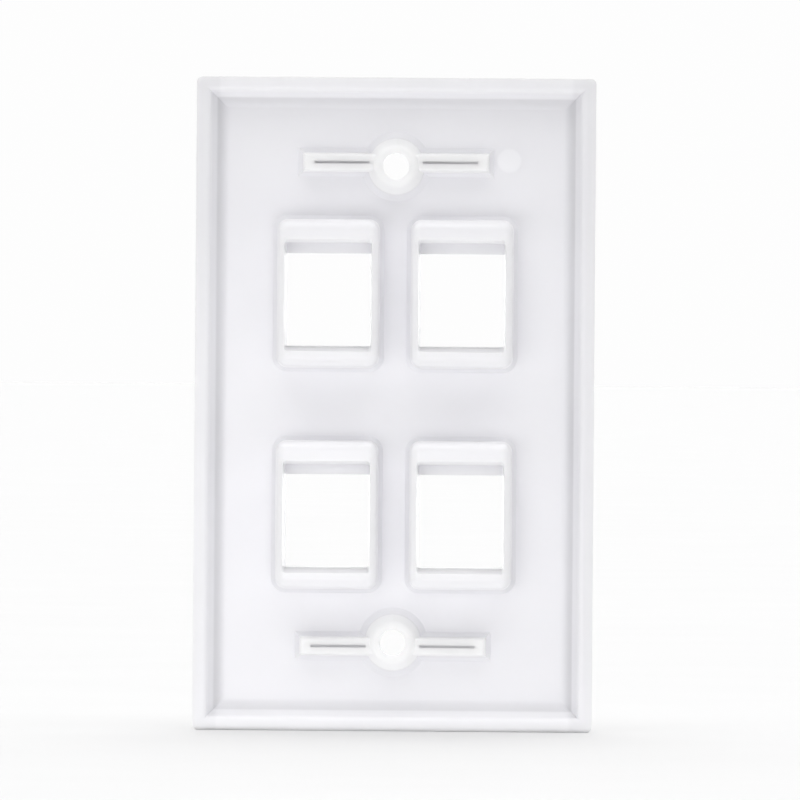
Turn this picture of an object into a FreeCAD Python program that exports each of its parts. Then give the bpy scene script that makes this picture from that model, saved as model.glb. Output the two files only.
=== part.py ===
import FreeCAD, Part
import math
import os

from FreeCAD import Vector

# Single-gang keystone faceplate: one injection moulding with four flush ports.
#
# Frame: the plate stands upright, as it is mounted. X runs across it, Z up it and Y through it.
# The origin is the middle of the rim's rear plane, which lies on the wall. The front face is
# towards -Y, in the room, and the port frames reach +Y, into the wall box. All sizes are in mm.

# Plate
plate_width = 69.85
plate_height = 114.3
plate_depth = 5.8            # wall plane to front face
plate_corner = 1.0           # radius of the outline's corners at the wall
face_wall = 2.2              # thickness of the flat front
edge_height = 1.0            # straight part of the outer edge, next to the wall
bevel_run = 3.3              # how far the bevelled border runs in to the front face
front_corner = 3.6           # radius of the front face's corners
edge_round = 1.2             # rounding where the edge turns into the bevel
front_round = 3.6            # rounding where the bevel turns into the front face

# Hollow back of the plate
rim_width = 2.6              # rim, measured to the sharp corner that its rounding replaces
rim_round = 1.0
rim_drop = 1.2               # from the wall plane to the crease where the rim's inner face ends
rim_draft = 2.0              # degrees, on that inner face
hollow_slope = 30.0          # lean of the hollow's side walls below the crease, degrees from square
hollow_fillet = 2.4          # between those walls and the hollow's floor

# Screws: the standard pair, with oval heads sunk in the front
screw_spacing = 83.34
screw_hole = 4.63
screw_head = 7.4
screw_head_angle = 82.0

# Screw bosses, each crossed by a stiffening rib that is cored by two narrow blind slots
boss_recess = 0.3            # bosses stop this far short of the wall plane
boss_land = 7.0              # diameter of the flat ring round the hole
boss_foot = 10.8             # diameter where the cone would meet the floor
boss_round = 1.2
rib_recess = 1.1             # ribs stop this far short of the wall plane
rib_length = 32.2
rib_width = 2.9
rib_offset = 0.68            # the ribs lie this much nearer the plate's ends than the screws
rib_draft = 8.0              # degrees
rib_round = 0.45
slot_width = 0.45
slot_length = 9.65
slot_start = 4.68            # from the screw's axis to the slot's near end
slot_depth = 1.6
foot_flare = 0.7             # at the foot of the frames, bosses and ribs

# Ejector mark: a shallow disc on the floor, past the end of the upper rib
ejector_mark = 4.6           # diameter
ejector_height = 0.15
ejector_x = -19.8
ejector_rise = 1.15          # above the screw's axis

# Ports: two columns and two rows. Each is an opening flush with the front, inside a raised frame.
port_pitch_x = 23.4
port_pitch_z = 38.7
port_depth = 10.0            # front face to the rear of a port frame
opening_width = 14.6
opening_height = 16.2
opening_round = 0.3          # at the front face
side_draft = 1.9             # degrees, so the port widens towards its mouth
latch_pocket = 4.25          # pocket above the opening, in which the jack's spring latch opens out
latch_step = 1.83            # how far the mouth reaches above the opening, for that latch
latch_lead = 0.6             # lead-in slope of the upper catch
hook_pocket = 2.1            # pocket below the opening, in which the jack's fixed hook lies
hook_step = 0.25             # how far the mouth reaches below the opening, for that hook
hook_lead = 0.75             # lead-in slope of the lower catch
hook_ledge = 6.3             # front face to the ledge that the hook turns under
catch_height = 2.0           # thickness of both catches, at the frame's rear
mouth_corner = 0.6

frame_side_wall = 1.12       # beside the mouth, at the frame's rear
frame_end_wall = 1.475       # above the latch pocket and below the hook pocket
frame_corner = 1.9
frame_draft = 2.0            # degrees
frame_round = 1.6

# Planes and sizes that follow from those above
front = -plate_depth
floor = face_wall - plate_depth
land = -boss_recess
crest = -rib_recess
frame_rear = front + port_depth
opening_drop = (latch_pocket - hook_pocket) / 2
frame_height = opening_height + latch_pocket + hook_pocket + 2 * frame_end_wall
frame_width = opening_width + 2 * port_depth * math.tan(math.radians(side_draft)) + 2 * frame_side_wall
past = 1.0                   # how far cutting bodies run past a face


def lean(height, degrees):
    """Sideways travel of a wall that leans by so many degrees over a height."""
    return height * math.tan(math.radians(degrees))


# outer edge of the plate to the foot of the hollow's walls, measured to their sharp corner
floor_inset = rim_width + lean(rim_drop, rim_draft) + lean(-floor - rim_drop, hollow_slope)


def edges_in_plane(shape, y, half_width, half_height, middle_x=0.0, middle_z=0.0):
    """Edges of a shape that lie in the plane at y, inside a rectangle."""
    found = []
    for edge in shape.Edges:
        box = edge.BoundBox
        flat = abs(box.YMin - y) < 1e-4 and abs(box.YMax - y) < 1e-4
        inside_x = max(abs(box.XMin - middle_x), abs(box.XMax - middle_x)) <= half_width
        inside_z = max(abs(box.ZMin - middle_z), abs(box.ZMax - middle_z)) <= half_height
        if flat and inside_x and inside_z:
            found.append(edge)
    return found


def tapered_block(y_near, near, y_far, far):
    """Block between two rectangles, each given as (x low, x high, z low, z high)."""
    return Part.makeWedge(
        near[0], y_near, near[2], far[2], far[0], near[1], y_far, near[3], far[3], far[1]
    )


def round_sides(block, corner):
    """The same block with its four long edges, from the near to the far rectangle, rounded."""
    depth = block.BoundBox.YLength
    return block.makeFillet(corner, [edge for edge in block.Edges if edge.BoundBox.YLength > depth / 2])


def rectangle(width, height, x=0.0, z=0.0):
    """Rectangle about a point, as tapered_block takes it."""
    return (x - width / 2, x + width / 2, z - height / 2, z + height / 2)


def rounded_outline(width, height, radius, y):
    """Closed outline of a rectangle with arcs for corners, standing in the plane at y."""
    side = width / 2
    top = height / 2
    bulge = radius * (1 - math.sqrt(0.5))
    edges = []
    for x_sign, z_sign in ((1, 1), (-1, 1), (-1, -1), (1, -1)):
        on_side = Vector(x_sign * side, y, z_sign * (top - radius))
        on_top = Vector(x_sign * (side - radius), y, z_sign * top)
        middle = Vector(x_sign * (side - bulge), y, z_sign * (top - bulge))
        ends = (on_side, on_top) if x_sign == z_sign else (on_top, on_side)
        if edges:
            edges.append(Part.LineSegment(last, ends[0]).toShape())
        else:
            start = ends[0]
        edges.append(Part.Arc(ends[0], middle, ends[1]).toShape())
        last = ends[1]
    edges.append(Part.LineSegment(last, start).toShape())
    return Part.Wire(edges)


def bevelled_border(wide, narrow):
    """Solid between two rounded outlines: four flat sides and four corners that open out."""
    faces = []
    for face in Part.makeLoft([wide, narrow], True, True).Faces:
        corners = [vertex.Point for vertex in face.OuterWire.OrderedVertexes]
        if len(corners) == 4 and face.findPlane():
            face = Part.Face(Part.makePolygon(corners + corners[:1]))
        faces.append(face)
    shell = Part.makeShell(faces)
    shell.sewShape()
    return Part.makeSolid(shell)


def plate_body():
    """The plate's outside: a straight edge, a bevelled border and the flat front."""
    bend = -edge_height
    wall_outline = rounded_outline(plate_width, plate_height, plate_corner, 0)
    bend_outline = rounded_outline(plate_width, plate_height, plate_corner, bend)
    front_outline = rounded_outline(
        plate_width - 2 * bevel_run, plate_height - 2 * bevel_run, front_corner, front
    )
    edge = Part.Face(wall_outline).extrude(Vector(0, bend, 0))
    body = bevelled_border(bend_outline, front_outline).fuse(edge).removeSplitter()
    body = body.makeFillet(front_round, edges_in_plane(body, front, plate_width, plate_height))
    return body.makeFillet(edge_round, edges_in_plane(body, bend, plate_width, plate_height))


def soft_path(points, radii):
    """Edges of a path through points, with one radius for each corner, or 0 for a sharp one."""
    edges = []
    start = points[0]
    for before, corner, after, radius in zip(points, points[1:], points[2:], radii):
        if radius == 0:
            edges.append(Part.LineSegment(start, corner).toShape())
            start = corner
            continue
        to_before = (before - corner).normalize()
        to_after = (after - corner).normalize()
        half_angle = to_before.getAngle(to_after) / 2
        inward = (to_before + to_after).normalize()
        arc_start = corner + to_before * (radius / math.tan(half_angle))
        arc_middle = corner + inward * (radius / math.sin(half_angle) - radius)
        arc_end = corner + to_after * (radius / math.tan(half_angle))
        edges.append(Part.LineSegment(start, arc_start).toShape())
        edges.append(Part.Arc(arc_start, arc_middle, arc_end).toShape())
        start = arc_end
    edges.append(Part.LineSegment(start, points[-1]).toShape())
    return edges


def profile(edges, closing_points):
    """Flat face bounded by a path of edges and by straight lines that close it."""
    end = edges[-1].lastVertex(True).Point
    start = edges[0].firstVertex(True).Point
    closing = Part.makePolygon([end] + closing_points + [start])
    return Part.Face(Part.Wire(edges + closing.Edges))


def hollow_prism(half_size, length):
    """Body with the hollow's section in the XY plane, drawn out along Z about the middle."""
    rim_corner = half_size - rim_width
    crease = rim_corner - lean(rim_drop, rim_draft)
    floor_corner = half_size - floor_inset
    section = soft_path(
        [
            Vector(half_size, 0, 0),
            Vector(rim_corner, 0, 0),
            Vector(crease, -rim_drop, 0),
            Vector(floor_corner, floor, 0),
            Vector(-floor_corner, floor, 0),
            Vector(-crease, -rim_drop, 0),
            Vector(-rim_corner, 0, 0),
            Vector(-half_size, 0, 0),
        ],
        [rim_round, 0, hollow_fillet, hollow_fillet, 0, rim_round],
    )
    outline = profile(section, [Vector(-half_size, past, 0), Vector(half_size, past, 0)])
    prism = outline.extrude(Vector(0, 0, length))
    prism.translate(Vector(0, 0, -length / 2))
    return prism


def hollow():
    """The hollow in the plate's back: two such bodies crossed, so that its corners are mitred."""
    across = hollow_prism(plate_width / 2, plate_height)
    along = hollow_prism(plate_height / 2, plate_width)
    along.rotate(Vector(0, 0, 0), Vector(0, 1, 0), 90)
    return across.common(along)


def port_frame(x, z):
    """Raised block round one port, with drafted sides and a rounded rear edge."""
    spread = 2 * lean(frame_rear - floor, frame_draft)
    foot = rectangle(frame_width + spread, frame_height + spread, x, z)
    rear = rectangle(frame_width, frame_height, x, z)
    block = round_sides(tapered_block(floor, foot, frame_rear, rear), frame_corner)
    rear_edges = edges_in_plane(block, frame_rear, frame_width, frame_height, x, z)
    return block.makeFillet(frame_round, rear_edges)


def port_inside(x, z):
    """Space inside one port, from front to rear: opening, latch pocket, hook pocket, mouth."""
    low = z - opening_drop - opening_height / 2
    high = z - opening_drop + opening_height / 2
    low_pocket = low - hook_pocket
    high_pocket = high + latch_pocket
    low_mouth = low - hook_step
    high_mouth = high + latch_step
    catch = port_depth - catch_height
    reach = 1 + past / catch_height

    def stage(near_depth, near_z, far_depth, far_z):
        sections = []
        for depth, (bottom, top) in ((near_depth, near_z), (far_depth, far_z)):
            half = opening_width / 2 + lean(depth, side_draft)
            sections.append((x - half, x + half, bottom, top))
        return tapered_block(front + near_depth, sections[0], front + far_depth, sections[1])

    opening = (low, high)
    upper_pocket = (low, high_pocket)
    both_pockets = (low_pocket, high_pocket)
    mouth = (low_mouth, high_mouth)
    lead_in = (low_mouth - hook_lead * reach, high_mouth + latch_lead * reach)
    stages = [
        stage(-past, opening, face_wall, opening),
        stage(face_wall, upper_pocket, hook_ledge, upper_pocket),
        stage(hook_ledge, both_pockets, catch, both_pockets),
        round_sides(stage(catch, mouth, port_depth + past, lead_in), mouth_corner),
    ]
    return stages[0].fuse(stages[1:])


def screw_boss(z):
    """Cone with a flat ring at its top, round the screw's axis."""
    height = land - floor
    cone = Part.makeCone(boss_foot / 2, boss_land / 2, height, Vector(0, floor, z), Vector(0, 1, 0))
    return cone.makeFillet(boss_round, edges_in_plane(cone, land, boss_land, boss_land, 0, z))


def rib(z):
    """Stiffening rib across a screw boss, with drafted sides and ends."""
    spread = 2 * lean(crest - floor, rib_draft)
    foot = rectangle(rib_length + spread, rib_width + spread, 0, z)
    top = rectangle(rib_length, rib_width, 0, z)
    block = tapered_block(floor, foot, crest, top)
    return block.makeFillet(rib_round, edges_in_plane(block, crest, rib_length, rib_width, 0, z))


def rib_slot(side, z):
    """Blind slot in the crest of a rib, on one side of the screw."""
    near = slot_start if side > 0 else -slot_start - slot_length
    place = Vector(near, crest - slot_depth, z - slot_width / 2)
    return Part.makeBox(slot_length, slot_depth + past, slot_width, place)


def ejector_disc():
    """Shallow disc that an ejector pin leaves on the floor."""
    place = Vector(ejector_x, floor, screw_spacing / 2 + ejector_rise)
    return Part.makeCylinder(ejector_mark / 2, ejector_height, place, Vector(0, 1, 0))


def screw_passage(z):
    """Screw hole, countersunk from the front for an oval head."""
    along = Vector(0, 1, 0)
    sink = (screw_head - screw_hole) / 2 / math.tan(math.radians(screw_head_angle / 2))
    hole = Part.makeCylinder(screw_hole / 2, plate_depth + past, Vector(0, front, z), along)
    return hole.fuse(Part.makeCone(screw_head / 2, screw_hole / 2, sink, Vector(0, front, z), along))


def faceplate():
    """The whole moulding."""
    ports = [
        (column * port_pitch_x / 2, row * port_pitch_z / 2) for column in (-1, 1) for row in (-1, 1)
    ]
    screws = [end * screw_spacing / 2 for end in (-1, 1)]
    ribs = [end * (screw_spacing / 2 + rib_offset) for end in (-1, 1)]

    plate = plate_body().cut(hollow())
    raised = [port_frame(x, z) for x, z in ports]
    raised += [screw_boss(z) for z in screws]
    raised += [rib(z) for z in ribs]
    plate = plate.fuse(raised)

    # the feet of all that stands on the floor, which is everything there but its own border
    border = floor_inset + hollow_fillet
    feet = edges_in_plane(plate, floor, plate_width / 2 - border, plate_height / 2 - border)
    plate = plate.makeChamfer(foot_flare, feet).fuse(ejector_disc())

    cuts = [port_inside(x, z) for x, z in ports]
    cuts += [screw_passage(z) for z in screws]
    cuts += [rib_slot(side, z) for side in (-1, 1) for z in ribs]
    plate = plate.cut(cuts)
    for x, z in ports:
        rim = edges_in_plane(plate, front, opening_width, opening_height, x, z - opening_drop)
        plate = plate.makeFillet(opening_round, rim)
    return plate


os.makedirs("parts", exist_ok=True)
shape = faceplate()
print("faceplate: solids", len(shape.Solids), "valid", shape.isValid(), "volume", round(shape.Volume, 1))
shape.exportStep("parts/faceplate.step")
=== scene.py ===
import bpy
import math
from mathutils import Matrix, Vector


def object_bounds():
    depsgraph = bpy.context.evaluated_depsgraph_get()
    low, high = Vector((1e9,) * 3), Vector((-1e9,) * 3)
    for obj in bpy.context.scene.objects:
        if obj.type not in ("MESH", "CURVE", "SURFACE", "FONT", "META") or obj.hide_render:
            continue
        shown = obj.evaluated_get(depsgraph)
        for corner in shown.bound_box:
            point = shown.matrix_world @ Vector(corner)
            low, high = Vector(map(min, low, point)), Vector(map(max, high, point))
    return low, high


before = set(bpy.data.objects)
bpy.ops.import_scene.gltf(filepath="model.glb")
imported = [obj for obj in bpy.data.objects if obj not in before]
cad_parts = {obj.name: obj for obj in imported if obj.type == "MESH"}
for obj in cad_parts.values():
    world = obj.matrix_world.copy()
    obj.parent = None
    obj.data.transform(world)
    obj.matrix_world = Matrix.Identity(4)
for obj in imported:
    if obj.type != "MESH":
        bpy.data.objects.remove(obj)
cad_low, cad_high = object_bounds()

# Lengths are in metres and angles in degrees.

# Camera: a long lens far behind the plate, a little to its -X side
CAMERA_DISTANCE = 1.8
CAMERA_SIDE = 0.8            # towards -X, from straight behind the plate
CAMERA_RISE = 0.2            # above the horizon
CAMERA_ROLL = 0.44
SENSOR_WIDTH = 36            # millimetres
FIELD = 0.1399               # width seen at the rim's plane
AIM_SIDE = -0.0010           # what the camera aims at, from the middle of the rim's rear plane
AIM_RISE = 0.0008

# Light: a white room that is brightest in a wide arc, high up in front of the plate's back
BACKDROP = 0.985             # brightness that the camera sees
ARC_LIGHT = 2.1
ARC_LOW = 45.0               # elevations between which the arc lies
ARC_HIGH = 75.0
ARC_SOFTNESS = 4.0           # over which its edges fade
ARC_FRONT = (-0.15, -0.05)   # Y of the directions over which it fades in, from the side of the front face
ROOM_LIGHT = 0.295           # from everywhere else
CARD_POWER = 0.096           # low white card in front of the plate
CARD_PLACE = (0.03, 0.15, -0.048)
CARD_TARGET = (0, 0, -0.048)
CARD_SIZE = 0.12
LOW_CARD_POWER = 0.0026      # strip of card that lies on the table along the plate's foot
LOW_CARD_WIDTH = 0.09
LOW_CARD_DEPTH = 0.028
LOW_CARD_LIFT = 0.0004       # above the table
REAR_POWER = 1.7             # wide lamp that lights the front face
REAR_PLACE = (0.0, -0.6, 0.05)
REAR_SIZE = 0.6
TABLE_LIGHT = 2.01           # soft lamp on the table, from behind and above the plate
TABLE_LIGHT_ELEVATION = 54.0
TABLE_LIGHT_ANGLE = 80.0

# Noise: textures seldom leave this range
NOISE_LOW = 0.3
NOISE_HIGH = 0.7

# Table
FLOOR_RADIUS = 30.0
FLOOR_SIDES = 96
TABLE_DARK = (0.715, 0.715, 0.715)
TABLE_LIGHTEST = (0.72, 0.72, 0.72)
TABLE_CLOUD = 0.15           # grain of the change in tone
TABLE_ROUGHNESS = (0.6, 0.7)
TABLE_ROUGHNESS_GRAIN = 0.05
TABLE_GLOSS = 0.2

# Plastic
PLASTIC_DARK = (0.852, 0.849, 0.871)
PLASTIC_LIGHT = (0.862, 0.859, 0.880)
PLASTIC_CLOUD = 0.02         # grain of the change between the two
PLASTIC_CLOUD_SWIRL = 0.4
PLASTIC_ROUGHNESS = (0.3, 0.4)
PLASTIC_ROUGHNESS_GRAIN = 0.006
PLASTIC_IOR = 1.5
WAVE_GRAIN = 0.012           # soft unevenness of the moulding
WAVE_DEPTH = 0.00006
FINE_GRAIN = 0.0003          # texture left by the mould's steel
FINE_DEPTH = 0.000004
SCATTER_DEPTH = 0.002        # how far light travels inside the plastic

# Light and shade painted into the plastic's colour: each is a factor on its colour, and each pair of
# lengths is where the factor starts and stops changing
BORDER_PAINTED_SHADE = 0.835         # painted shade over the plate's border, along the sides
END_PAINTED_SHADE = 0.875            # weaker painted shade along the top and bottom
BORDER_INSET = (0.0035, 0.006)   # from the outer edge
RAISED_PAINTED_LIGHT = 1.13          # painted light on ribs and bosses, which stand between the floor and the wall plane
RAISED_LOW = (-0.0029, -0.0025)
RAISED_HIGH = (0.0, 0.001)
MARK_PAINTED_SHEEN = 1.045           # painted sheen: lighter tone on the smooth ejector disc beside the upper rib
MARK_PLACE = (-0.0198, -0.00345, 0.04282)
MARK_RADIUS = (0.0018, 0.0023)


def link(tree, source, target):
    """Joins an output socket to an input socket."""
    tree.links.new(source, target)


def noise(tree, coordinates, grain, detail, distortion=0.0):
    """Noise whose lumps are about grain metres across."""
    node = tree.nodes.new("ShaderNodeTexNoise")
    node.inputs["Scale"].default_value = 1 / grain
    node.inputs["Detail"].default_value = detail
    node.inputs["Distortion"].default_value = distortion
    link(tree, coordinates, node.inputs["Vector"])
    return node.outputs["Fac"]


def spread(tree, value, low, high):
    """Noise stretched from its usual range to the range from low to high."""
    node = tree.nodes.new("ShaderNodeMapRange")
    node.inputs["From Min"].default_value = NOISE_LOW
    node.inputs["From Max"].default_value = NOISE_HIGH
    node.inputs["To Min"].default_value = low
    node.inputs["To Max"].default_value = high
    link(tree, value, node.inputs["Value"])
    return node.outputs["Result"]


def blend_colours(tree, factor, first, second):
    """Colour between two others, as a factor runs from 0 to 1."""
    node = tree.nodes.new("ShaderNodeMix")
    node.data_type = "RGBA"
    node.inputs["A"].default_value = (*first, 1)
    node.inputs["B"].default_value = (*second, 1)
    link(tree, factor, node.inputs["Factor"])
    return node.outputs["Result"]


def bump(tree, height, depth, below=None):
    """Normal roughened by a height that runs from 0 to 1, over so many metres of depth."""
    node = tree.nodes.new("ShaderNodeBump")
    node.inputs["Distance"].default_value = depth
    link(tree, height, node.inputs["Height"])
    if below:
        link(tree, below, node.inputs["Normal"])
    return node.outputs["Normal"]


def new_material(name):
    """Empty node material: its tree, its main shader and the object's own coordinates."""
    material = bpy.data.materials.new(name)
    material.use_nodes = True
    tree = material.node_tree
    shader = tree.nodes["Principled BSDF"]
    coordinates = tree.nodes.new("ShaderNodeTexCoord").outputs["Object"]
    return material, tree, shader, coordinates


def calculate(tree, operation, first, second=0.0):
    """One arithmetic step on sockets or numbers."""
    node = tree.nodes.new("ShaderNodeMath")
    node.operation = operation
    for socket, value in zip(node.inputs, (first, second)):
        if isinstance(value, bpy.types.NodeSocket):
            link(tree, value, socket)
        else:
            socket.default_value = value
    return node.outputs["Value"]


def ramp(tree, value, start, end, low, high):
    """Smooth change from low to high as a value goes from start to end."""
    node = tree.nodes.new("ShaderNodeMapRange")
    node.interpolation_type = "SMOOTHSTEP"
    node.inputs["From Min"].default_value = start
    node.inputs["From Max"].default_value = end
    node.inputs["To Min"].default_value = low
    node.inputs["To Max"].default_value = high
    link(tree, value, node.inputs["Value"])
    return node.outputs["Result"]


def separate(tree, vector):
    """The three coordinates of a vector."""
    node = tree.nodes.new("ShaderNodeSeparateXYZ")
    link(tree, vector, node.inputs["Vector"])
    return node.outputs["X"], node.outputs["Y"], node.outputs["Z"]


def painted_light_and_shade(tree, place):
    """Factor that paints light and shade into the colour: painted shade over the plate's border, painted
    light on what stands proud of its floor, painted sheen on the ejector disc.
    """
    x, y, z = separate(tree, place)
    from_side = calculate(tree, "SUBTRACT", cad_high[0], calculate(tree, "ABSOLUTE", x))
    from_end = calculate(tree, "SUBTRACT", cad_high[2], calculate(tree, "ABSOLUTE", z))
    # Painted shade: the border is darkened, more along the sides than along the top and bottom
    side_border = ramp(tree, from_side, *BORDER_INSET, BORDER_PAINTED_SHADE, 1)
    end_border = ramp(tree, from_end, *BORDER_INSET, END_PAINTED_SHADE, 1)
    border = calculate(tree, "MINIMUM", side_border, end_border)
    # Painted light: what stands between the floor and the wall plane is lightened
    above_floor = ramp(tree, y, *RAISED_LOW, 1, RAISED_PAINTED_LIGHT)
    below_wall = ramp(tree, y, *RAISED_HIGH, RAISED_PAINTED_LIGHT, 1)
    raised = calculate(tree, "MINIMUM", above_floor, below_wall)
    # Painted sheen: the smooth ejector disc is lightened
    from_mark = tree.nodes.new("ShaderNodeVectorMath")
    from_mark.operation = "DISTANCE"
    link(tree, place, from_mark.inputs[0])
    from_mark.inputs[1].default_value = MARK_PLACE
    mark = ramp(tree, from_mark.outputs["Value"], *MARK_RADIUS, MARK_PAINTED_SHEEN, 1)
    return calculate(tree, "MULTIPLY", calculate(tree, "MULTIPLY", border, raised), mark)


def white_plastic():
    """Moulded thermoplastic: a cool, slightly translucent white with a soft waviness and a fine grain."""
    material, tree, shader, place = new_material("white_plastic")
    clouds = spread(tree, noise(tree, place, PLASTIC_CLOUD, 3, PLASTIC_CLOUD_SWIRL), 0, 1)
    colour = blend_colours(tree, clouds, PLASTIC_DARK, PLASTIC_LIGHT)
    # The colour is scaled by the painted light and shade
    shade = tree.nodes.new("ShaderNodeVectorMath")
    shade.operation = "SCALE"
    link(tree, colour, shade.inputs[0])
    link(tree, painted_light_and_shade(tree, place), shade.inputs["Scale"])
    link(tree, shade.outputs["Vector"], shader.inputs["Base Color"])
    gloss = noise(tree, place, PLASTIC_ROUGHNESS_GRAIN, 4)
    link(tree, spread(tree, gloss, *PLASTIC_ROUGHNESS), shader.inputs["Roughness"])
    waves = bump(tree, noise(tree, place, WAVE_GRAIN, 1), WAVE_DEPTH)
    link(tree, bump(tree, noise(tree, place, FINE_GRAIN, 2), FINE_DEPTH, waves), shader.inputs["Normal"])
    shader.subsurface_method = "RANDOM_WALK"
    shader.inputs["Subsurface Weight"].default_value = 1.0
    shader.inputs["Subsurface Radius"].default_value = (1.0, 1.0, 1.0)
    shader.inputs["Subsurface Scale"].default_value = SCATTER_DEPTH
    shader.inputs["IOR"].default_value = PLASTIC_IOR
    return material


def pale_table():
    """Plain white table top, with a trace of unevenness in its tone and gloss."""
    material, tree, shader, place = new_material("pale_table")
    clouds = spread(tree, noise(tree, place, TABLE_CLOUD, 2), 0, 1)
    link(tree, blend_colours(tree, clouds, TABLE_DARK, TABLE_LIGHTEST), shader.inputs["Base Color"])
    gloss = noise(tree, place, TABLE_ROUGHNESS_GRAIN, 3)
    link(tree, spread(tree, gloss, *TABLE_ROUGHNESS), shader.inputs["Roughness"])
    shader.inputs["Specular IOR Level"].default_value = TABLE_GLOSS
    return material


def add_floor(height):
    """Round table top at the given height, far wider than any view of the plate."""
    bpy.ops.mesh.primitive_circle_add(
        vertices=FLOOR_SIDES, radius=FLOOR_RADIUS, fill_type="NGON", location=(0, 0, height))
    floor = bpy.context.object
    floor.name = "floor"
    floor.data.materials.append(pale_table())
    return floor


def add_lamp(name, kind, place, target, lit_object):
    """Lamp that faces a target and lights one object only."""
    lamp = bpy.data.lights.new(name, kind)
    holder = bpy.data.objects.new(name, lamp)
    holder.location = place
    holder.rotation_euler = (Vector(target) - Vector(place)).to_track_quat("-Z", "Y").to_euler()
    holder.visible_camera = False
    bpy.context.collection.objects.link(holder)
    lit = bpy.data.collections.new(name + "_lights")
    lit.objects.link(lit_object)
    holder.light_linking.receiver_collection = lit
    return lamp


def add_card(name, place, target, width, depth, power):
    """White card or wide lamp that faces a target and lights the plate only."""
    card = add_lamp(name, "AREA", place, target, plate)
    card.shape = "RECTANGLE"
    card.size = width
    card.size_y = depth
    card.energy = power


def light_plate():
    """Two cards in front of the plate's back, low down, and a wide lamp for its front face."""
    add_card("card", CARD_PLACE, CARD_TARGET, CARD_SIZE, CARD_SIZE, CARD_POWER)
    on_table = Vector((0, LOW_CARD_DEPTH / 2, cad_low[2] + LOW_CARD_LIFT))
    above = on_table + Vector((0, 0, 1))
    add_card("low_card", on_table, above, LOW_CARD_WIDTH, LOW_CARD_DEPTH, LOW_CARD_POWER)
    add_card("rear", REAR_PLACE, (0, 0, 0), REAR_SIZE, REAR_SIZE, REAR_POWER)


def light_table(table):
    """Soft lamp that lights the table only."""
    rise = math.radians(TABLE_LIGHT_ELEVATION)
    lamp = add_lamp("table_lamp", "SUN", (0, -math.cos(rise), math.sin(rise)), (0, 0, 0), table)
    lamp.angle = math.radians(TABLE_LIGHT_ANGLE)
    lamp.energy = TABLE_LIGHT


def light_room():
    """White surroundings with a bright arc high in front of the plate's back, and an even backdrop."""
    world = bpy.data.worlds.new("room")
    bpy.context.scene.world = world
    world.use_nodes = True
    tree = world.node_tree
    direction = tree.nodes.new("ShaderNodeTexCoord").outputs["Generated"]
    _, y, z = separate(tree, direction)
    elevation = calculate(tree, "DEGREES", calculate(tree, "ARCSINE", z))
    fade = ARC_SOFTNESS / 2
    above_low = ramp(tree, elevation, ARC_LOW - fade, ARC_LOW + fade, 0, 1)
    below_high = ramp(tree, elevation, ARC_HIGH - fade, ARC_HIGH + fade, 1, 0)
    in_front = ramp(tree, y, *ARC_FRONT, 0, ARC_LIGHT)
    arc = calculate(tree, "MULTIPLY", in_front, calculate(tree, "MULTIPLY", above_low, below_high))
    light = calculate(tree, "ADD", arc, ROOM_LIGHT)
    seen = tree.nodes.new("ShaderNodeLightPath").outputs["Is Camera Ray"]
    brightness = tree.nodes.new("ShaderNodeMix")
    link(tree, seen, brightness.inputs["Factor"])
    link(tree, light, brightness.inputs["A"])
    brightness.inputs["B"].default_value = BACKDROP
    link(tree, brightness.outputs["Result"], tree.nodes["Background"].inputs["Strength"])
    tree.nodes["Background"].inputs["Color"].default_value = (1, 1, 1, 1)


def add_camera():
    """Camera that looks along -Y at the plate's back."""
    side = math.radians(CAMERA_SIDE)
    rise = math.radians(CAMERA_RISE)
    aim = Vector((AIM_SIDE, 0, AIM_RISE))
    outward = Vector((-math.sin(side) * math.cos(rise), math.cos(side) * math.cos(rise), math.sin(rise)))
    lens = bpy.data.cameras.new("camera")
    lens.sensor_width = SENSOR_WIDTH
    lens.lens = SENSOR_WIDTH * CAMERA_DISTANCE / FIELD
    lens.clip_end = 2 * FLOOR_RADIUS
    camera = bpy.data.objects.new("camera", lens)
    turn = (-outward).to_track_quat("-Z", "Y").to_matrix()
    roll = Matrix.Rotation(math.radians(CAMERA_ROLL), 3, "Z")
    camera.matrix_world = Matrix.Translation(aim + outward * CAMERA_DISTANCE) @ (turn @ roll).to_4x4()
    bpy.context.collection.objects.link(camera)
    bpy.context.scene.camera = camera


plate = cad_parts["faceplate"]
plate.data.materials.clear()
plate.data.materials.append(white_plastic())

table = add_floor(cad_low[2])
light_room()
light_plate()
light_table(table)
add_camera()

bpy.context.scene.view_settings.view_transform = "Standard"
